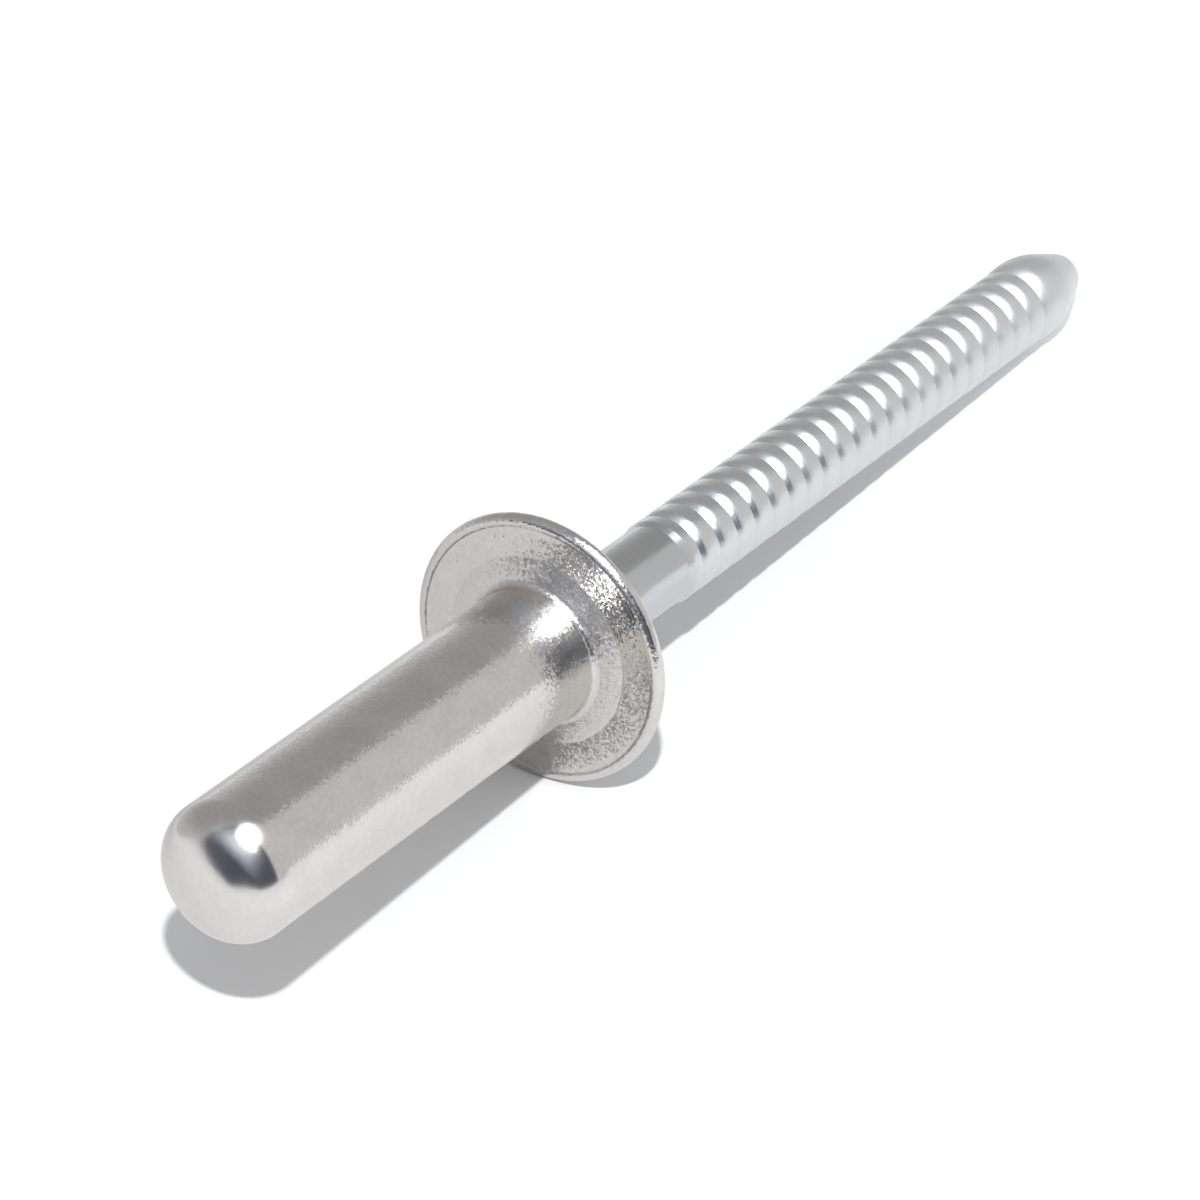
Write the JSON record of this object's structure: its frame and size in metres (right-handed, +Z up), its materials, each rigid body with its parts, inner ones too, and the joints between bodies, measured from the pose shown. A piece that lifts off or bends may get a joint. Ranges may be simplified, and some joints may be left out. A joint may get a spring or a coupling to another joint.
{
  "type": "blind rivet",
  "caption": "Closed-end blind rivet, unset: a round-nosed tubular shank with a domed flange, and a steel mandrel with grip rings and a tapered tip, lying at rest.",
  "frame": {"origin": "on the surface it lies on, under the middle of the bounding box", "axes": "+X level, from the closed end towards the mandrel's tip; +Z up; +Y to the left of someone who looks along +X"},
  "size_m": [0.0444, 0.008, 0.008],
  "materials": {
    "rivet_body": "satin, tumbled",
    "mandrel": "drawn and rolled, bright"
  },
  "bodies": {
    "root": {"rivet_body": "rivet_body", "mandrel": "mandrel"}
  },
  "joints": []
}
